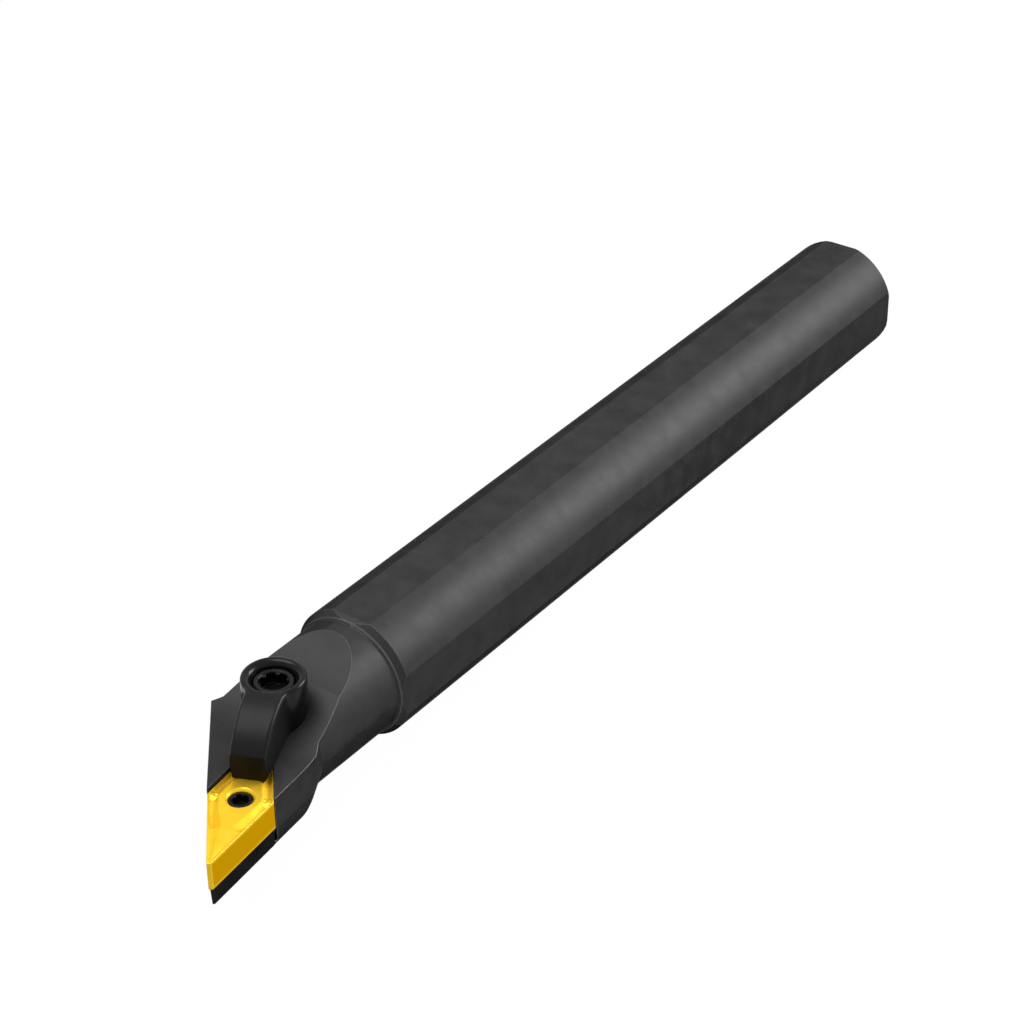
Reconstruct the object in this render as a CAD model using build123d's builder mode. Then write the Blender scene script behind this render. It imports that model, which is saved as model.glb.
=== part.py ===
from build123d import *
from math import atan, cos, degrees, radians, sin, tan
import os

os.makedirs("parts", exist_ok=True)

# Sizes in millimetres. The bar axis is Y, the head points to -Y, up is +Z.
# Names that end in _back are distances back from the insert nose, along the bar.

# shank and neck
shank_radius = 11.0
flat_height = 10.4
reach = 199.26
head_length = 49.86
rear_chamfer = 0.3
shoulder_length = 0.96
shoulder_radius = 10.15
lip_length = 0.25
neck_radius = 9.8
flare_back = 30.06
flare_angle = 26.0
stock_radius = 18.5
stock_front = 6.74
side_back = 34.26
head_bottom = 10.0

# insert: a rhombus with a hole, its flank turned to the bar axis
insert_circle = 9.525
insert_angle = 35.0
insert_thickness = 4.76
nose_radius = 0.4
insert_hole = 3.81
insert_top = 1.9
nose_x = 13.52
flank_turn = 5.53

# chip former on both insert faces
land_width = 0.22
groove_depth = 0.28
groove_wall = 45.0
island_wall = 35.0
ridge_tip = 13.4
ridge_waist = 6.6
ridge_waist_half = 1.15
ridge_root = 2.5
ridge_root_half = 3.0
knob_place = 3.75
knob_spacing = 1.1
knob_radius = 0.42
knob_height = 0.2
hole_edge = 0.2

# shim under the insert
shim_thickness = 3.18
shim_inset = 0.15
shim_taper = 3.0
shim_hole = 4.5
shim_counterbore = 5.6
shim_counterbore_depth = 1.2

# head shape
pocket_gap = 0.12
side_inset = 0.2
beak_cut = 6.5
side_start = -3.5
side_round = 7.0
side_round_turn = 62.0
ramp_high_back = 49.26
ramp_high_height = 12.25
ramp_middle_back = 41.26
ramp_middle_height = 7.396
crease_back = 37.26
crease_height = 6.2
slope = 0.44
top_right_height = 2.0
top_right_x = 11.7
top_tilt = 3.4
top_blend = 20.0
wall_turn = 39.0
wall_out = 0.05

# clamp
clamp_back = 31.46
clamp_turn = 23.4
boss_radius = 4.97
rim_top = 10.5
rim_edge = 0.5
bore_radius = 3.3
bore_lead = 1.0
bore_floor = 6.4
arm_length = 14.2
arm_root_half = 3.2
arm_tip_half = 2.72
arm_corner = 3.0
arm_top_start = 4.5
arm_tip_top = 6.2
underside_slide = 0.45
pad_length = 1.9
pad_half = 2.5

# clamp screw, M4 with a ring that lifts the clamp
screw_radius = 2.0
thread_gap = 0.05
shank_gap = 0.3
head_gap = 0.1
face_gap = 0.05
head_top = 9.5
head_edge = 0.25
screw_end = -6.0
screw_hole_end = -7.5
screw_point = 0.5
socket_across = 4.6
socket_depth = 2.0
socket_lead = 0.15
socket_lead_depth = 0.3
ring_top = 3.85
ring_thickness = 0.6
ring_radius = 3.0
groove_radius = 1.6
ring_fit = 0.04
ring_room = 0.35
ring_below = 0.1
ring_mouth = 2.6

# socket lobes, as parts of the width across
lobe_place = 0.56
lobe_size = 0.13

# lock pin
pin_top = 1.6
pin_radius = 1.85
pin_flange_radius = 2.6
pin_flange_depth = 0.95
pin_thread_radius = 2.0
pin_end = -8.3
pin_edge = 0.2
pin_socket_across = 2.6
pin_socket_depth = 1.4
pin_socket_lead = 0.1
pin_socket_lead_depth = 0.3

# values that follow from the sizes above
nose_y = -reach
shank_length = reach - head_length
flare_start = reach - flare_back
side_begin = reach - side_back
head_reach = reach + stock_front
ramp_high = (nose_y + ramp_high_back, ramp_high_height)
ramp_middle = (nose_y + ramp_middle_back, ramp_middle_height)
crease = (nose_y + crease_back, crease_height)
clamp_y = nose_y + clamp_back
half_angle = insert_angle / 2
insert_edge = insert_circle / sin(radians(insert_angle))
half_long = insert_edge * cos(radians(half_angle))
half_short = insert_edge * sin(radians(half_angle))
insert_bottom = insert_top - insert_thickness
pocket_floor = insert_bottom - shim_thickness
long_turn = flank_turn + half_angle
long_x = sin(radians(long_turn))
long_y = -cos(radians(long_turn))
centre_x = nose_x - half_long * long_x
centre_y = nose_y - half_long * long_y
clamp_x_dir = (sin(radians(clamp_turn)), -cos(radians(clamp_turn)), 0)


def insert_plane(height, up=1):
    """Plane on the insert's centre, its x axis toward the nose."""
    return Plane(origin=(centre_x, centre_y, height), x_dir=(long_x, long_y, 0), z_dir=(0, 0, up))


def clamp_plane(height):
    """Plane on the clamp screw's axis, its x axis along the arm."""
    return Plane(origin=(0, clamp_y, height), x_dir=clamp_x_dir, z_dir=(0, 0, 1))


def edge_middle(edge):
    """Middle of an edge, measured in the clamp's own axes."""
    return clamp_plane(0).to_local_coords(edge @ 0.5)


def is_side(place):
    """True off the arm's middle line, and behind the clamp screw's axis."""
    return abs(place.Y) > rim_edge or place.X < 0


def rhombus(inset, radius):
    """Insert outline moved in by inset, with its corners rounded."""
    reach_x = half_long - inset / sin(radians(half_angle))
    reach_y = half_short - inset / cos(radians(half_angle))
    with BuildSketch(mode=Mode.PRIVATE) as outline:
        with BuildLine():
            Polyline((reach_x, 0), (0, reach_y), (-reach_x, 0), (0, -reach_y), close=True)
        make_face()
        fillet(outline.vertices(), radius)
    return outline.sketch


def socket(across):
    """Six-lobed socket outline."""
    with BuildSketch(mode=Mode.PRIVATE) as outline:
        Circle(across / 2)
        with PolarLocations(across * lobe_place, 6):
            Circle(across * lobe_size, mode=Mode.SUBTRACT)
    return outline.sketch


def flank_point(distance):
    """Point on the flank side of the head, measured back from the inset nose."""
    back = side_inset / sin(radians(half_angle))
    start_x = nose_x - back * long_x
    start_y = nose_y - back * long_y
    return (start_x - distance * sin(radians(flank_turn)), start_y + distance * cos(radians(flank_turn)))


def wall_point(distance):
    """Point on the other side of the head, measured back from the insert's blunt corner."""
    left_turn = radians(flank_turn + insert_angle)
    start_x = nose_x - insert_edge * sin(left_turn) - wall_out * cos(left_turn)
    start_y = nose_y + insert_edge * cos(left_turn) - wall_out * sin(left_turn)
    return (start_x - distance * sin(radians(wall_turn)), start_y + distance * cos(radians(wall_turn)))


# Bar body: turned shank, neck and flare, then milled flats, head sides,
# ramp, clamp seat, insert pocket and holes.
beak_back = beak_cut / cos(radians(half_angle))
flank_back = (-side_begin - flank_point(0)[1]) / cos(radians(flank_turn))
side_drop = side_round * sin(radians(side_round_turn))
side_run = side_round * (1 - cos(radians(side_round_turn)))
under_depth = head_bottom + 2.0
under_run = (under_depth + side_start - side_drop) * tan(radians(side_round_turn))
flare_end = flare_start + (stock_radius - neck_radius) / tan(radians(flare_angle))
flat_block = 4 * shank_radius
flat_corner = (flat_height - flat_block / 2, flat_height - flat_block / 2)
slope_end = (crease[0] - crease[1] / slope, 0)

# space above the head: ramp, slope and the slightly tilted flat before the pocket
with BuildPart() as top_space:
    with BuildSketch(Plane.YZ):
        with BuildLine():
            ThreePointArc(ramp_high, ramp_middle, crease)
            Polyline(
                crease,
                slope_end,
                (-head_reach - 1, 0),
                (-head_reach - 1, 2 * shank_radius),
                (ramp_high[0], 2 * shank_radius),
                ramp_high,
            )
        make_face()
    extrude(amount=2 * shank_radius, both=True)
    flat_plane = Plane(
        origin=(top_right_x, 0, top_right_height),
        x_dir=(0, 1, 0),
        z_dir=(sin(radians(top_tilt)), 0, cos(radians(top_tilt))),
    )
    split(bisect_by=flat_plane, keep=Keep.TOP)
    flat_height_middle = top_right_height + top_right_x * tan(radians(top_tilt))
    blend_place = (0, crease[0] - (crease[1] - flat_height_middle) / slope, flat_height_middle)
    fillet(top_space.edges().filter_by(GeomType.LINE).sort_by_distance(blend_place)[0], top_blend)

with BuildPart() as bar_body:
    with BuildSketch():
        with BuildLine():
            Polyline(
                (0, 0),
                (shank_radius - rear_chamfer, 0),
                (shank_radius, -rear_chamfer),
                (shank_radius, -shank_length),
                (0, -shank_length),
                close=True,
            )
        make_face()
    revolve(axis=Axis.Y)
    # flats on the top and on the nose side
    with BuildSketch(Plane.XZ):
        with Locations(flat_corner):
            Rectangle(flat_block, flat_block)
    extrude(amount=shank_length, mode=Mode.INTERSECT)
    # shoulder from the flatted outline to a round lip
    with BuildPart(mode=Mode.PRIVATE) as shoulder:
        with BuildSketch():
            with BuildLine():
                Polyline(
                    (0, -shank_length),
                    (shank_radius, -shank_length),
                    (shoulder_radius, -shank_length - shoulder_length),
                    (0, -shank_length - shoulder_length),
                    close=True,
                )
            make_face()
        revolve(axis=Axis.Y)
        with BuildSketch(Plane.XZ.offset(shank_length)):
            with Locations(flat_corner):
                Rectangle(flat_block, flat_block)
        lean = degrees(atan((flat_height - shoulder_radius) / shoulder_length))
        extrude(amount=shoulder_length, taper=lean, mode=Mode.INTERSECT)
    add(shoulder.part)
    # lip and neck
    with BuildSketch():
        with BuildLine():
            lip_end = -shank_length - shoulder_length - lip_length
            step = shoulder_radius - neck_radius
            Polyline((0, -shank_length), (shoulder_radius, -shank_length), (shoulder_radius, lip_end))
            RadiusArc((shoulder_radius, lip_end), (neck_radius, lip_end - step), -step)
            Line((neck_radius, lip_end - step), (neck_radius, -flare_start))
            Polyline((neck_radius, -flare_start), (0, -flare_start), (0, -shank_length))
        make_face()
    revolve(axis=Axis.Y)
    with BuildSketch():
        with BuildLine():
            Polyline(
                (0, -flare_start),
                (neck_radius, -flare_start),
                (stock_radius, -flare_end),
                (stock_radius, -head_reach),
                (0, -head_reach),
                close=True,
            )
        make_face()
    revolve(axis=Axis.Y)
    # head sides seen from above
    with BuildSketch():
        with BuildLine():
            Polyline(
                (2 * shank_radius, 1),
                (2 * shank_radius, -side_begin),
                flank_point(flank_back),
                flank_point(beak_back),
                wall_point(beak_back - insert_edge),
                wall_point(2 * insert_edge),
                (wall_point(2 * insert_edge)[0], 1),
                close=True,
            )
        make_face()
    extrude(amount=2 * shank_radius, both=True, mode=Mode.INTERSECT)
    # rounded lower sides of the head
    flank_middle = flank_point((flank_back - insert_edge / 2) / 2)
    wall_middle = wall_point(0)
    flank_reach = (flank_back + insert_edge / 2) / 2
    sides = ((flank_turn, 1, flank_middle, flank_reach), (wall_turn, -1, wall_middle, 2 * insert_edge))
    for turn, outward, middle, half_run in sides:
        out_x = outward * cos(radians(turn))
        out_y = outward * sin(radians(turn))
        side_plane = Plane(
            origin=(middle[0], middle[1], 0),
            x_dir=(out_x, out_y, 0),
            z_dir=(out_y, -out_x, 0),
        )
        with BuildSketch(side_plane):
            with BuildLine():
                CenterArc((-side_round, side_start), side_round, 0, -side_round_turn)
                Polyline(
                    (-side_run, side_start - side_drop),
                    (-side_run - under_run, -under_depth),
                    (2 * side_round, -under_depth),
                    (2 * side_round, side_start),
                    (0, side_start),
                )
            make_face()
        extrude(amount=half_run, both=True, mode=Mode.SUBTRACT)
    # level underside
    with BuildSketch(Plane.XY.offset(-head_bottom)):
        with Locations((0, -(flare_start + head_reach) / 2)):
            Rectangle(4 * shank_radius, head_reach - flare_start + 4)
    extrude(amount=-shank_radius, mode=Mode.SUBTRACT)
    # ramp and head top
    add(top_space.part, mode=Mode.SUBTRACT)
    # insert pocket, open to the front
    with BuildSketch(insert_plane(pocket_floor)) as pocket:
        corner_x = -half_long - pocket_gap / sin(radians(half_angle))
        wall_x = corner_x + 1.6 * insert_edge * cos(radians(half_angle))
        wall_y = 1.6 * insert_edge * sin(radians(half_angle))
        with BuildLine():
            Polyline(
                (corner_x, 0),
                (wall_x, wall_y),
                (2 * half_long, wall_y),
                (2 * half_long, -wall_y),
                (wall_x, -wall_y),
                close=True,
            )
        make_face()
        fillet(pocket.vertices().sort_by(Axis.X)[0], nose_radius + pocket_gap)
    extrude(amount=2 * shank_radius, mode=Mode.SUBTRACT)
    # screw hole, with room for the ring under the clamp
    with BuildSketch(clamp_plane(ring_top - ring_thickness - ring_below)):
        Circle(ring_radius + ring_room)
    extrude(amount=2 * shank_radius, mode=Mode.SUBTRACT)
    with BuildSketch(clamp_plane(screw_hole_end)):
        Circle(screw_radius + thread_gap)
    extrude(amount=2 * shank_radius, mode=Mode.SUBTRACT)
    # lock pin hole
    with BuildSketch(insert_plane(pocket_floor)):
        Circle(pin_thread_radius)
    extrude(amount=-shank_radius, mode=Mode.SUBTRACT)

bar_body.part.label = "bar_body"
export_step(bar_body.part, "parts/bar_body.step")


# Shim: carbide seat with leaning sides and a sunk hole for the pin flange.
with BuildPart() as shim:
    with BuildSketch(insert_plane(insert_bottom)):
        add(rhombus(shim_inset, nose_radius))
    extrude(amount=-shim_thickness, taper=shim_taper)
    with BuildSketch(insert_plane(pocket_floor)):
        Circle(shim_hole / 2)
    extrude(amount=shim_thickness, mode=Mode.SUBTRACT)
    with BuildSketch(insert_plane(insert_bottom)):
        Circle(shim_counterbore / 2)
    extrude(amount=-shim_counterbore_depth, mode=Mode.SUBTRACT)

shim.part.label = "shim"
export_step(shim.part, "parts/shim.step")


# Insert: rhombic plate with the same chip former on both faces.
with BuildPart() as insert:
    with BuildSketch(insert_plane(insert_bottom)):
        add(rhombus(0, nose_radius))
    extrude(amount=insert_thickness)
    for face_height, up in ((insert_top, 1), (insert_bottom, -1)):
        floor_height = face_height - up * groove_depth
        # pan behind the edge land
        with BuildSketch(insert_plane(face_height, up)):
            add(rhombus(land_width, nose_radius))
        extrude(amount=-groove_depth, taper=groove_wall, mode=Mode.SUBTRACT)
        # raised middle with a ridge to each nose
        with BuildSketch(insert_plane(floor_height, up)):
            with BuildLine():
                Polyline(
                    (ridge_tip, 0),
                    (ridge_waist, ridge_waist_half),
                    (ridge_root, ridge_root_half),
                    (-ridge_root, ridge_root_half),
                    (-ridge_waist, ridge_waist_half),
                    (-ridge_tip, 0),
                    (-ridge_waist, -ridge_waist_half),
                    (-ridge_root, -ridge_root_half),
                    (ridge_root, -ridge_root_half),
                    (ridge_waist, -ridge_waist_half),
                    close=True,
                )
            make_face()
        extrude(amount=groove_depth, taper=island_wall)
        # knobs by the blunt corners
        with BuildSketch(insert_plane(floor_height, up)):
            with GridLocations(knob_spacing, 2 * knob_place, 2, 2):
                Circle(knob_radius)
        extrude(amount=knob_height, taper=island_wall)
    with BuildSketch(insert_plane(insert_bottom)):
        Circle(insert_hole / 2)
    extrude(amount=insert_thickness, mode=Mode.SUBTRACT)
    round_edges = insert.edges().filter_by(GeomType.CIRCLE)
    chamfer(round_edges.filter_by(lambda edge: abs(edge.radius - insert_hole / 2) < 0.01), hole_edge)

insert.part.label = "insert"
export_step(insert.part, "parts/insert.step")


# Lock pin: socket, plain top in the insert, flange in the shim, thread in the head.
flange_top = insert_bottom - (shim_counterbore_depth - pin_flange_depth)
with BuildPart() as lock_pin:
    with BuildSketch(insert_plane(pin_end)):
        Circle(pin_thread_radius)
    extrude(amount=flange_top - pin_flange_depth - pin_end)
    with BuildSketch(insert_plane(flange_top - pin_flange_depth)):
        Circle(pin_flange_radius)
    extrude(amount=pin_flange_depth)
    with BuildSketch(insert_plane(flange_top)):
        Circle(pin_radius)
    extrude(amount=pin_top - flange_top)
    chamfer(lock_pin.faces().sort_by(Axis.Z)[-1].edges(), pin_edge)
    chamfer(lock_pin.faces().sort_by(Axis.Z)[0].edges(), pin_edge)
    with BuildSketch(insert_plane(pin_top)):
        add(socket(pin_socket_across))
    extrude(amount=-pin_socket_depth, mode=Mode.SUBTRACT)
    with BuildSketch(insert_plane(pin_top)):
        Circle(pin_socket_across / 2 + pin_socket_lead)
    extrude(amount=-pin_socket_lead_depth, taper=45, mode=Mode.SUBTRACT)

lock_pin.part.label = "lock_pin"
export_step(lock_pin.part, "parts/lock_pin.step")


# Clamp: round boss with a sunk bore and an arm that falls to the insert.
arm_drop = rim_top - arm_tip_top
arm_run = arm_length - arm_top_start
arm_arc = (arm_run**2 + arm_drop**2) / (2 * arm_drop)
arm_arc_turn = atan(arm_run / (arm_arc - arm_drop)) / 2
arm_middle = (arm_top_start + arm_arc * sin(arm_arc_turn), rim_top - arm_arc * (1 - cos(arm_arc_turn)))
clamp_low = insert_top - 1
with BuildPart() as clamp:
    with BuildSketch(clamp_plane(clamp_low)) as clamp_plan:
        with BuildLine():
            Polyline(
                (0, arm_root_half),
                (arm_length, arm_tip_half),
                (arm_length, -arm_tip_half),
                (0, -arm_root_half),
                close=True,
            )
        make_face()
        Circle(boss_radius)
        waist = clamp_plan.vertices().filter_by_position(Axis.X, 1, boss_radius)
        fillet(waist, arm_corner)
    extrude(amount=2 * shank_radius)
    # level boss top that curves down along the arm
    arm_side = Plane(origin=(0, clamp_y, 0), x_dir=clamp_x_dir, z_dir=(clamp_x_dir[1], -clamp_x_dir[0], 0))
    with BuildSketch(arm_side):
        with BuildLine():
            Line((-boss_radius - 1, rim_top), (arm_top_start, rim_top))
            ThreePointArc((arm_top_start, rim_top), arm_middle, (arm_length, arm_tip_top))
            Polyline(
                (arm_length, arm_tip_top),
                (arm_length, clamp_low),
                (-boss_radius - 1, clamp_low),
                (-boss_radius - 1, rim_top),
            )
        make_face()
    extrude(amount=boss_radius + 1, both=True, mode=Mode.INTERSECT)
    # underside: rests on the slope and stays just clear of the flat
    lifted = Location((0, underside_slide, slope * underside_slide))
    add(top_space.part.moved(lifted), mode=Mode.INTERSECT)
    # pad that presses on the insert
    with BuildSketch(clamp_plane(insert_top)):
        with Locations((arm_length - pad_length / 2, 0)):
            Rectangle(pad_length, 2 * pad_half)
    extrude(amount=insert_top)
    # rounded top edges of the boss and the arm, but not the crisp one over the tip face
    top_edges = clamp.faces().filter_by(lambda face: face.normal_at().Z > 0.5).edges()
    high_edges = top_edges.filter_by(lambda edge: edge_middle(edge).Z > arm_tip_top + rim_edge / 2)
    fillet(high_edges.filter_by(lambda edge: is_side(edge_middle(edge))), rim_edge)
    # bore for the screw head, screw hole and room for the ring
    with BuildSketch(clamp_plane(bore_floor)):
        Circle(bore_radius)
    extrude(amount=rim_top - bore_floor, mode=Mode.SUBTRACT)
    with BuildSketch(clamp_plane(0)):
        Circle(screw_radius + shank_gap)
    extrude(amount=bore_floor, mode=Mode.SUBTRACT)
    with BuildSketch(clamp_plane(0)):
        Circle(ring_radius + ring_room)
    extrude(amount=ring_top + face_gap, mode=Mode.SUBTRACT)
    round_edges = clamp.edges().filter_by(GeomType.CIRCLE)
    bore_edges = round_edges.filter_by(lambda edge: abs(edge.radius - bore_radius) < 0.01)
    chamfer(bore_edges.sort_by(Axis.Z)[-1], bore_lead)

clamp.part.label = "clamp"
export_step(clamp.part, "parts/clamp.step")


# Clamp screw: socket head, shank with a groove for the ring, plain threaded end.
head_bottom_z = bore_floor + face_gap
with BuildPart() as clamp_screw:
    with BuildSketch(clamp_plane(screw_end)):
        Circle(screw_radius)
    extrude(amount=head_bottom_z - screw_end)
    chamfer(clamp_screw.faces().sort_by(Axis.Z)[0].edges(), screw_point)
    with BuildSketch(clamp_plane(head_bottom_z)):
        Circle(bore_radius - head_gap)
    extrude(amount=head_top - head_bottom_z)
    chamfer(clamp_screw.faces().sort_by(Axis.Z)[-1].edges(), head_edge)
    with BuildSketch(clamp_plane(ring_top - ring_thickness)):
        Circle(screw_radius)
        Circle(groove_radius, mode=Mode.SUBTRACT)
    extrude(amount=ring_thickness, mode=Mode.SUBTRACT)
    with BuildSketch(clamp_plane(head_top)):
        add(socket(socket_across))
    extrude(amount=-socket_depth, mode=Mode.SUBTRACT)
    with BuildSketch(clamp_plane(head_top)):
        Circle(socket_across / 2 + socket_lead)
    extrude(amount=-socket_lead_depth, taper=45, mode=Mode.SUBTRACT)

clamp_screw.part.label = "clamp_screw"
export_step(clamp_screw.part, "parts/clamp_screw.step")


# Retaining ring: open ring in the screw's groove.
with BuildPart() as retaining_ring:
    with BuildSketch(clamp_plane(ring_top - ring_thickness + ring_fit / 2)):
        Circle(ring_radius)
        Circle(groove_radius, mode=Mode.SUBTRACT)
        with Locations((-ring_radius, 0)):
            Rectangle(2 * ring_radius, ring_mouth, mode=Mode.SUBTRACT)
    extrude(amount=ring_thickness - ring_fit)

retaining_ring.part.label = "retaining_ring"
export_step(retaining_ring.part, "parts/retaining_ring.step")
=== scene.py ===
# Boring bar: materials, detailed pieces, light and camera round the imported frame.
import bpy
import math
import numpy as np
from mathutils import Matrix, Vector


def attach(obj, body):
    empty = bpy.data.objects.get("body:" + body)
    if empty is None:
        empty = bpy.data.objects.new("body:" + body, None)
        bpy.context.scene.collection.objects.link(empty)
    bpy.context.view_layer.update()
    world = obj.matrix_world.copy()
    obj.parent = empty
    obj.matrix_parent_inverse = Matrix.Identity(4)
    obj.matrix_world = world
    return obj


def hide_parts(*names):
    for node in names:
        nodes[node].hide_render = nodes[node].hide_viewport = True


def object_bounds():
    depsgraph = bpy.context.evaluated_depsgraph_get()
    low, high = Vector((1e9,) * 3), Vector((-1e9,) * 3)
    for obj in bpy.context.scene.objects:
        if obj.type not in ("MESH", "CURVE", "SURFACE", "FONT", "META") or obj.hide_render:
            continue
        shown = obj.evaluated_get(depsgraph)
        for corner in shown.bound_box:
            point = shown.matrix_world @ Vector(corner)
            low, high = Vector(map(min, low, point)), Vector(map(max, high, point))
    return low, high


print("stage: frame")
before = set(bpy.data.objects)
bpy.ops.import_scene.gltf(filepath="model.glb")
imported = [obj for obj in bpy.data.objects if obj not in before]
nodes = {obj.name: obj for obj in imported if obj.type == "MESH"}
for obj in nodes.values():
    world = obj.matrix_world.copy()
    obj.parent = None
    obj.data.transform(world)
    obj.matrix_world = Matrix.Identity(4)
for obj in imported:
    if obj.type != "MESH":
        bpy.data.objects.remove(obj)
cadLow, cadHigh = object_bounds()
scene = bpy.context.scene


# A shader value: wraps one socket so that formulas can be written with + - *.
class Value:
    def __init__(self, graph, socket):
        self.graph = graph
        self.socket = socket

    def calc(self, operation, *others, clamp=False):
        return self.graph.math(operation, self, *others, clamp=clamp)

    def __add__(self, other):
        return self.calc("ADD", other)

    def __radd__(self, other):
        return self.graph.math("ADD", other, self)

    def __sub__(self, other):
        return self.calc("SUBTRACT", other)

    def __rsub__(self, other):
        return self.graph.math("SUBTRACT", other, self)

    def __mul__(self, other):
        return self.calc("MULTIPLY", other)

    def __rmul__(self, other):
        return self.graph.math("MULTIPLY", other, self)

    def power(self, other):
        return self.calc("POWER", other)

    # Straight ramp from 0 at low to 1 at high, held inside 0 to 1.
    def ramp(self, low, high):
        ends = {"From Min": low, "From Max": high}
        return self.graph.node("ShaderNodeMapRange", values=ends, links={"Value": self})


# A material's node graph: node() adds any node, the rest are short names for common ones.
class Graph:
    def __init__(self, tree):
        self.tree = tree
        tree.nodes.clear()

    def node(self, kind, out=0, values=None, links=None, **settings):
        made = self.tree.nodes.new(kind)
        for name, value in settings.items():
            setattr(made, name, value)
        for name, value in (values or {}).items():
            made.inputs[name].default_value = value
        for name, value in (links or {}).items():
            self.tree.links.new(value.socket, made.inputs[name])
        return Value(self, made.outputs[out]) if len(made.outputs) else made

    def math(self, operation, *parts, clamp=False):
        made = self.tree.nodes.new("ShaderNodeMath")
        made.operation = operation
        made.use_clamp = clamp
        for place, part in enumerate(parts):
            if isinstance(part, Value):
                self.tree.links.new(part.socket, made.inputs[place])
            else:
                made.inputs[place].default_value = part
        return Value(self, made.outputs[0])

    # Colour between two colours by a factor.
    def blend(self, factor, first, second):
        made = self.tree.nodes.new("ShaderNodeMix")
        made.data_type = "RGBA"
        for place, part in ((0, factor), (6, first), (7, second)):
            if isinstance(part, Value):
                self.tree.links.new(part.socket, made.inputs[place])
            elif place == 0:
                made.inputs[place].default_value = part
            else:
                made.inputs[place].default_value = (*part, 1)
        return Value(self, made.outputs[2])

    def noise(self, where, scale, detail):
        values = {"Scale": scale, "Detail": detail, "Roughness": 0.55}
        return self.node("ShaderNodeTexNoise", values=values, links={"Vector": where})


# How strongly an edge turns within a radius: 0 on flats, up to 1 on sharp edges. It masks the painted highlight
# along edges.
def edgeTurn(graph, look):
    rounded = graph.node("ShaderNodeBevel", values={"Radius": look["edgeRadius"]}, samples=8)
    plain = graph.node("ShaderNodeNewGeometry", out="Normal")
    dot = graph.node("ShaderNodeVectorMath", out="Value", operation="DOT_PRODUCT", links={0: rounded, 1: plain})
    return (1.0 - dot - look["edgeFrom"]).calc("MULTIPLY", look["edgeGain"], clamp=True)


# Lengths are in metres and noise sizes are per metre. The other looks start from this one.
steelLook = {
    "dark": (0.0435, 0.0428, 0.0428),
    "light": (0.0530, 0.0522, 0.0522),
    # edge is the colour of the painted highlight along sharp edges
    "edge": (0.24, 0.24, 0.24),
    "edgeRadius": 0.00016,
    "edgeHighlightShare": 0.7,
    "edgeFrom": 0.013,
    "edgeGain": 20.0,
    "roughLow": 0.43,
    "roughHigh": 0.56,
    "specular": 0.0,
    "metal": 0.5,
    "tint": (0.12, 0.12, 0.12),
    "blotch": 260.0,
    "grain": 2600.0,
    "blotchShare": 0.65,
    "mixLow": 0.38,
    "mixHigh": 0.62,
    "bump": 0.05,
    "bumpDepth": 0.0001,
    "side": None,
    "polished": None,
}
carbideLook = dict(
    steelLook, dark=(0.016, 0.016, 0.0165), light=(0.026, 0.026, 0.0265), edge=(0.09, 0.09, 0.09), grain=5200.0,
)
blackLook = dict(
    steelLook, dark=(0.0045, 0.0045, 0.0048), light=(0.0066, 0.0066, 0.0070), edgeHighlightShare=0.0, edgeRadius=0.0003,
    roughLow=0.36, roughHigh=0.42, specular=0.135, metal=0.0, tint=(1, 1, 1), grain=3600.0, bump=0.015,
    polished={
        "centre": (0, -0.1678), "inner": 0.0048, "outer": 0.0065, "rough": 0.20,
        "bore": 0.0033, "rim": 0.0043, "bulge": 990.0,
    },
)
# the gold's side colour is painted shade, a darker tone for the insert's flank
goldLook = dict(
    steelLook, dark=(0.88, 0.55, 0.030), light=(0.93, 0.61, 0.040), edge=(1.0, 0.86, 0.30), edgeHighlightShare=0.45,
    edgeRadius=0.00012, edgeFrom=0.003, edgeGain=40.0,
    roughLow=0.33, roughHigh=0.37, metal=0.5, tint=(0.85, 0.50, 0.05), blotch=300.0, grain=6000.0, bump=0.006,
    side=(0.60, 0.33, 0.003),
)
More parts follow.
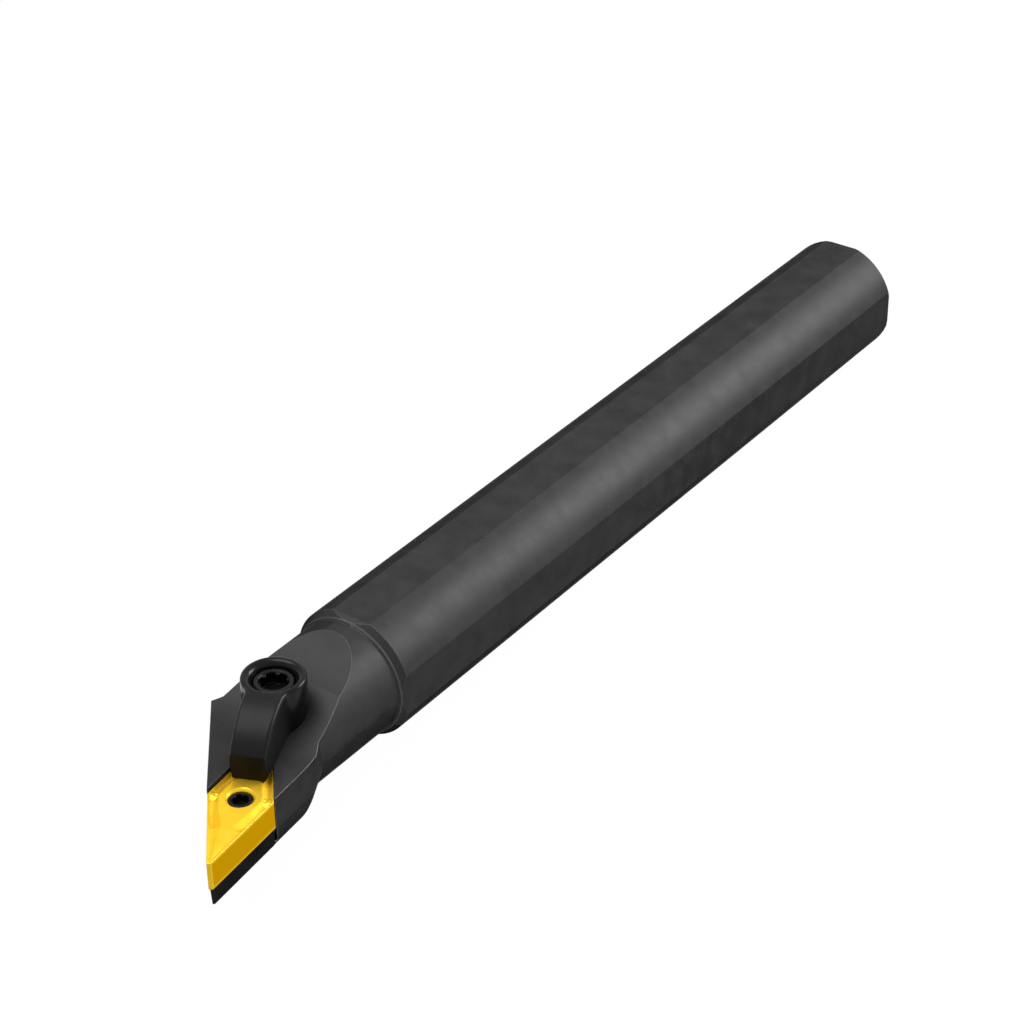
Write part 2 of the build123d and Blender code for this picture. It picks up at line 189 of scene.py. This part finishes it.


# Metal finish: two noise sizes mix dark and light tone and roughness, sharp edges
# get a painted highlight in a lighter tone, and the finest noise gives the surface its grain.
def metalMaterial(name, look):
    material = bpy.data.materials.new(name)
    material.use_nodes = True
    graph = Graph(material.node_tree)
    where = graph.node("ShaderNodeTexCoord", out="Object")
    blotch = graph.noise(where, look["blotch"], detail=4.0)
    grain = graph.noise(where, look["grain"], detail=2.0)
    spread = blotch * look["blotchShare"] + grain * (1 - look["blotchShare"])
    mixed = spread.ramp(look["mixLow"], look["mixHigh"])
    colour = graph.blend(mixed, look["dark"], look["light"])
    rough = mixed * (look["roughHigh"] - look["roughLow"]) + look["roughLow"]
    # painted shade: where the point attribute flags the flank, the colour turns darker
    if look["side"]:
        side = graph.node("ShaderNodeAttribute", out="Fac", attribute_name="side")
        colour = graph.blend(side, colour, look["side"])
    height, bumpValues = grain, {"Strength": look["bump"], "Distance": look["bumpDepth"]}
    if look["polished"]:
        # smoother round the clamp's mouth, and there the bump bulges between bore and
        # rim, by (rim - radius) * (radius - bore) * bulge, so that the cone looks round
        polished = look["polished"]
        parts = [graph.node("ShaderNodeSeparateXYZ", out=axis, links={"Vector": where}) for axis in ("X", "Y")]
        away = [part - middle for part, middle in zip(parts, polished["centre"])]
        radius = (away[0] * away[0] + away[1] * away[1]).power(0.5)
        share = radius.ramp(polished["inner"], polished["outer"])
        bead = ((polished["rim"] - radius) * (radius - polished["bore"])).calc("MAXIMUM", 0.0)
        height = grain * (look["bump"] * look["bumpDepth"]) + bead * polished["bulge"]
        bumpValues = {"Strength": 1.0, "Distance": 1.0}
        rough = polished["rough"] + share * (rough - polished["rough"])
    # painted highlight: sharp edges are blended toward the lighter edge colour
    if look["edgeHighlightShare"] > 0:
        edge = edgeTurn(graph, look)
        colour = graph.blend(edge * look["edgeHighlightShare"], colour, look["edge"])
    rounded = graph.node("ShaderNodeBevel", values={"Radius": look["edgeRadius"]}, samples=8)
    bump = graph.node("ShaderNodeBump", values=bumpValues, links={"Height": height, "Normal": rounded})
    shader = graph.node(
        "ShaderNodeBsdfPrincipled",
        values={
            "Metallic": look["metal"], "Specular IOR Level": look["specular"], "Specular Tint": (*look["tint"], 1),
        },
        links={"Base Color": colour, "Roughness": rough, "Normal": bump},
    )
    graph.node("ShaderNodeOutputMaterial", links={"Surface": shader})
    return material


print("stage: materials")
steel = metalMaterial("bar_steel_look", steelLook)
carbide = metalMaterial("carbide_look", carbideLook)
black = metalMaterial("black_steel_look", blackLook)
gold = metalMaterial("gold_look", goldLook)
looks = {
    "bar_body": steel, "shim": carbide, "insert": gold, "lock_pin": black,
    "clamp": black, "clamp_screw": black, "retaining_ring": black,
}
for name, finish in looks.items():
    for place in nodes[name].material_slots:
        place.material = finish


# Closed ring of rows of points, each row a closed ring too: a torus-like mesh.
def ringMesh(name, rows):
    count, columns = rows.shape[:2]
    across, along = np.meshgrid(np.arange(columns), np.arange(count))
    nextRow = (along + 1) % count
    nextColumn = (across + 1) % columns
    corners = (
        along * columns + across, along * columns + nextColumn,
        nextRow * columns + nextColumn, nextRow * columns + across,
    )
    quads = np.stack(corners, axis=-1).reshape(-1, 4)
    mesh = bpy.data.meshes.new(name)
    mesh.vertices.add(count * columns)
    mesh.vertices.foreach_set("co", (rows.reshape(-1, 3) / 1000).astype(np.float32).ravel())
    mesh.loops.add(quads.size)
    mesh.loops.foreach_set("vertex_index", quads.astype(np.int32).ravel())
    mesh.polygons.add(len(quads))
    mesh.polygons.foreach_set("loop_start", np.arange(0, quads.size, 4, dtype=np.int32))
    mesh.polygons.foreach_set("loop_total", np.full(len(quads), 4, dtype=np.int32))
    mesh.update(calc_edges=True)
    mesh.shade_smooth()
    made = bpy.data.objects.new(name, mesh)
    scene.collection.objects.link(made)
    return made


# Smooth step from 0 at low to 1 at high: 3 t^2 - 2 t^3 with t held inside 0 to 1.
def smooth(value, low, high):
    t = np.clip((value - low) / (high - low), 0, 1)
    return t * t * (3 - 2 * t)


# Millimetres. A row that ends in At holds places along the long diagonal, counted from
# the middle, and the row after it holds the values at those places.
insertSizes = {
    "circle": 9.525, "angle": 35.0, "nose": 0.4, "thickness": 4.76, "top": 1.9,
    "noseX": 13.52, "noseY": -199.26, "flankTurn": 5.53,
    "hone": 0.03, "land": 0.12, "wall": 0.42,
    "depthAt": (0.0, 2.0, 5.6, 6.4, 7.2, 13.4, 15.9), "depth": (0.30, 0.40, 0.66, 0.50, 0.22, 0.13, 0.06),
    "ridgeAt": (0.0, 1.2, 3.3, 6.0, 9.75, 13.4, 15.9), "ridgeHalf": (3.2, 2.9, 2.2, 0.95, 0.45, 0.02, -0.3),
    "slopeAt": (0.0, 2.0, 5.6, 7.0, 9.75, 13.4, 15.9), "slopeWide": (0.6, 0.80, 1.30, 1.05, 0.60, 0.25, 0.2),
    "ribHalf": 0.30, "ribSlope": 0.55, "ribHigh": 0.85, "dimpleAt": 3.65, "dimpleWide": 0.5, "dimple": 0.16,
    "hole": 1.905, "sink": 2.25, "evenInset": 1.9, "noseBright": 0.28,
}


# Outline of the rounded rhombus as x and y, starting on the nose: each straight
# edge is evenly cut, each corner is an arc about the point that lies
# nose / sin(half the corner angle) in from the sharp corner.
def insertOutline(sizes, edgePoints, nosePoints, bluntPoints):
    half = math.radians(sizes["angle"] / 2)
    edge = sizes["circle"] / math.sin(2 * half)
    corner = sizes["nose"]
    longAt = edge * math.cos(half) - corner / math.sin(half)
    shortAt = edge * math.sin(half) - corner / math.cos(half)
    sharp = math.pi / 2 - half
    arcs = (
        (longAt, 0, -sharp, sharp, nosePoints), (0, shortAt, sharp, math.pi - sharp, bluntPoints),
        (-longAt, 0, math.pi - sharp, math.pi + sharp, nosePoints),
        (0, -shortAt, math.pi + sharp, 2 * math.pi - sharp, bluntPoints),
    )
    parts = []
    for place, (x, y, start, end, points) in enumerate(arcs):
        turn = np.linspace(start, end, points)
        arc = np.stack([x + corner * np.cos(turn), y + corner * np.sin(turn)], axis=1)
        x, y, start = arcs[(place + 1) % 4][:3]
        after = np.array([x + corner * math.cos(start), y + corner * math.sin(start)])
        share = np.linspace(0, 1, edgePoints + 1)[1:-1, None]
        parts += [arc, arc[-1] * (1 - share) + after * share]
    return np.concatenate(parts)


# Depth of the chip former under the face, from the inset and the place: the groove
# starts behind the edge land; the ridge along the middle fills it with a plane
# slope on each side, and so does a short rib toward each blunt corner, which has a
# round dimple; the hole has a cone.
def formerDepth(sizes, inset, x, y):
    alongX, alongY = np.abs(x), np.abs(y)
    ridge = np.interp(alongX, sizes["ridgeAt"], sizes["ridgeHalf"])
    slope = np.interp(alongX, sizes["slopeAt"], sizes["slopeWide"])
    filled = np.clip((ridge + slope - alongY) / slope, 0, 1)
    rib = np.clip((sizes["ribHalf"] + sizes["ribSlope"] - alongX) / sizes["ribSlope"], 0, 1)
    filled = np.maximum(filled, rib * sizes["ribHigh"])
    groove = smooth(inset, sizes["land"], sizes["wall"]) * (1 - filled)
    depth = groove * np.interp(alongX, sizes["depthAt"], sizes["depth"])
    away = np.hypot(alongX, alongY - sizes["dimpleAt"])
    depth = depth + sizes["dimple"] * (1 - smooth(away, 0.0, sizes["dimpleWide"]))
    hone = sizes["hone"]
    edge = np.where(inset < hone, hone - np.sqrt(np.maximum(hone ** 2 - (hone - inset) ** 2, 0)), 0)
    cone = np.maximum(sizes["sink"] - np.hypot(x, y), 0)
    return np.maximum(np.maximum(depth, edge), cone)


# Insert as one closed grid: down the flank, in over the lower face, up the hole and
# out over the upper face. On a face the outline shrinks toward the centre, which
# keeps the inset even along each edge, then blends into the hole's circle. A point
# attribute is 1 on the flank, which gets painted shade, but not round the noses,
# which stay bright as if lit.
def makeInsert(sizes):
    outline = insertOutline(sizes, edgePoints=104, nosePoints=19, bluntPoints=7)
    inner = sizes["circle"] / 2
    insets = np.concatenate([
        np.linspace(0, sizes["hone"], 5), np.linspace(sizes["hone"], sizes["land"], 3)[1:],
        np.linspace(sizes["land"], sizes["wall"], 9)[1:], np.linspace(sizes["wall"], sizes["evenInset"], 26)[1:],
    ])
    turn = np.arctan2(outline[:, 1], outline[:, 0])
    circle = np.stack([np.cos(turn), np.sin(turn)], axis=1)
    last = outline * (1 - insets[-1] / inner)
    plans = [outline * (1 - inset / inner) for inset in insets]
    depthInsets = list(insets)
    for share in np.linspace(0, 1, 27)[1:]:
        plans.append(last * (1 - share) + circle * sizes["sink"] * share)
        depthInsets.append(insets[-1] + share)
    for share in np.linspace(0, 1, 5)[1:]:
        plans.append(circle * (sizes["sink"] + (sizes["hole"] - sizes["sink"]) * share))
        depthInsets.append(insets[-1] + 1)
    top = sizes["top"]
    bottom = top - sizes["thickness"]
    face = []
    for plan, inset in zip(plans, depthInsets):
        face.append(formerDepth(sizes, inset, plan[:, 0], plan[:, 1]))
    upper = [np.column_stack([plan, top - depth]) for plan, depth in zip(plans, face)]
    lower = [np.column_stack([plan, bottom + depth]) for plan, depth in zip(plans, face)]
    flank = [upper[0] * (1 - share) + lower[0] * share for share in np.linspace(0, 1, 9)[1:-1]]
    hole = [lower[-1] * (1 - share) + upper[-1] * share for share in np.linspace(0, 1, 9)[1:-1]]
    rows = np.array(upper[::-1] + flank + lower + hole)
    side = np.zeros(rows.shape[:2], dtype=np.float32)
    side[len(upper):len(upper) + len(flank)] = 1
    # no painted shade within noseBright of each nose, so the noses stay bright as if lit
    side[:, np.abs(outline[:, 0]) > np.abs(outline[:, 0]).max() - sizes["noseBright"]] = 0
    longTurn = math.radians(sizes["flankTurn"] + sizes["angle"] / 2)
    longX, longY = math.sin(longTurn), -math.cos(longTurn)
    half = math.radians(sizes["angle"] / 2)
    halfLong = sizes["circle"] / math.sin(2 * half) * math.cos(half)
    centreX = sizes["noseX"] - halfLong * longX
    centreY = sizes["noseY"] - halfLong * longY
    placed = np.empty_like(rows)
    placed[..., 0] = centreX + rows[..., 0] * longX - rows[..., 1] * longY
    placed[..., 1] = centreY + rows[..., 0] * longY + rows[..., 1] * longX
    placed[..., 2] = rows[..., 2]
    made = ringMesh("insert_former", placed)
    flag = made.data.attributes.new("side", "FLOAT", "POINT")
    flag.data.foreach_set("value", side.ravel())
    return made


print("stage: insert")
insertPiece = makeInsert(insertSizes)
insertPiece.data.materials.append(gold)
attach(insertPiece, "holder")
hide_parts("insert")


print("stage: floor")
floorLook = {
    "glow": 1.045, "share": 0.94, "matte": 0.4, "below": 0.0002, "centre": (0.0, -0.1), "half": 1.2,
}


# 1 for what the camera, a mirror or glass sees, 0 for light that falls on things.
def seenDirectly(graph):
    seen = graph.node("ShaderNodeLightPath", out="Is Camera Ray")
    seen = seen + graph.node("ShaderNodeLightPath", out="Is Glossy Ray")
    return seen.calc("ADD", graph.node("ShaderNodeLightPath", out="Is Transmission Ray"), clamp=True)


# Flat square surface at a height, half a width to each side of a centre; the share
# that glows white hides none of the rest, which keeps the shadow.
def makeFloor(look):
    mesh = bpy.data.meshes.new("floor")
    x, y = look["centre"]
    half = look["half"]
    height = cadLow[2] - look["below"]
    sides = ((-1, -1), (1, -1), (1, 1), (-1, 1))
    corners = [(x + across * half, y + along * half, height) for across, along in sides]
    mesh.from_pydata(corners, [], [(0, 1, 2, 3)])
    floor = bpy.data.objects.new("floor", mesh)
    scene.collection.objects.link(floor)
    material = bpy.data.materials.new("floor_white")
    material.use_nodes = True
    graph = Graph(material.node_tree)
    matte = graph.node("ShaderNodeBsdfDiffuse", values={"Color": (*[look["matte"]] * 3, 1)})
    glow = graph.node("ShaderNodeEmission", values={"Color": (1, 1, 1, 1), "Strength": look["glow"]})
    mixed = graph.node("ShaderNodeMixShader", links={0: seenDirectly(graph) * look["share"], 1: matte, 2: glow})
    graph.node("ShaderNodeOutputMaterial", links={"Surface": mixed})
    mesh.materials.append(material)


makeFloor(floorLook)

print("stage: light")
skyLevel = 0.35  # light from all round; camera and glossy rays see plain white
world = bpy.data.worlds.new("studio")
scene.world = world
world.use_nodes = True
sky = Graph(world.node_tree)
strength = seenDirectly(sky) * (1 - skyLevel) + skyLevel
glow = sky.node("ShaderNodeBackground", values={"Color": (1, 1, 1, 1)}, links={"Strength": strength})
sky.node("ShaderNodeOutputWorld", links={"Surface": glow})

# Power in watts, the rest in metres.
lamps = [
    {"name": "back_right", "place": (0.29, 0.33, 0.28), "aim": (0, -0.1, 0), "size": 0.30, "power": 3.6},
    {"name": "top", "place": (-0.18, -0.2, 0.55), "aim": (0, -0.14, 0), "size": 0.34, "power": 2.0},
]
for lamp in lamps:
    light = bpy.data.lights.new(lamp["name"], "AREA")
    light.energy = lamp["power"]
    light.size = lamp["size"]
    stand = bpy.data.objects.new(lamp["name"], light)
    stand.location = lamp["place"]
    toward = Vector(lamp["aim"]) - Vector(lamp["place"])
    stand.rotation_euler = toward.to_track_quat("-Z", "Y").to_euler()
    scene.collection.objects.link(stand)

print("stage: camera")
photoView = {
    "sensor": 36.0, "lens": 95.46, "near": 0.01, "far": 10.0,
    "place": (0.219925, -0.408456, 0.246438), "turn": (57.3007, 0.7130, 35.7063),
}
lens = bpy.data.cameras.new("view")
lens.sensor_width = photoView["sensor"]
lens.lens = photoView["lens"]
lens.clip_start = photoView["near"]
lens.clip_end = photoView["far"]
eye = bpy.data.objects.new("view", lens)
eye.location = photoView["place"]
eye.rotation_euler = [math.radians(turn) for turn in photoView["turn"]]
scene.collection.objects.link(eye)
scene.camera = eye
scene.view_settings.view_transform = "Standard"
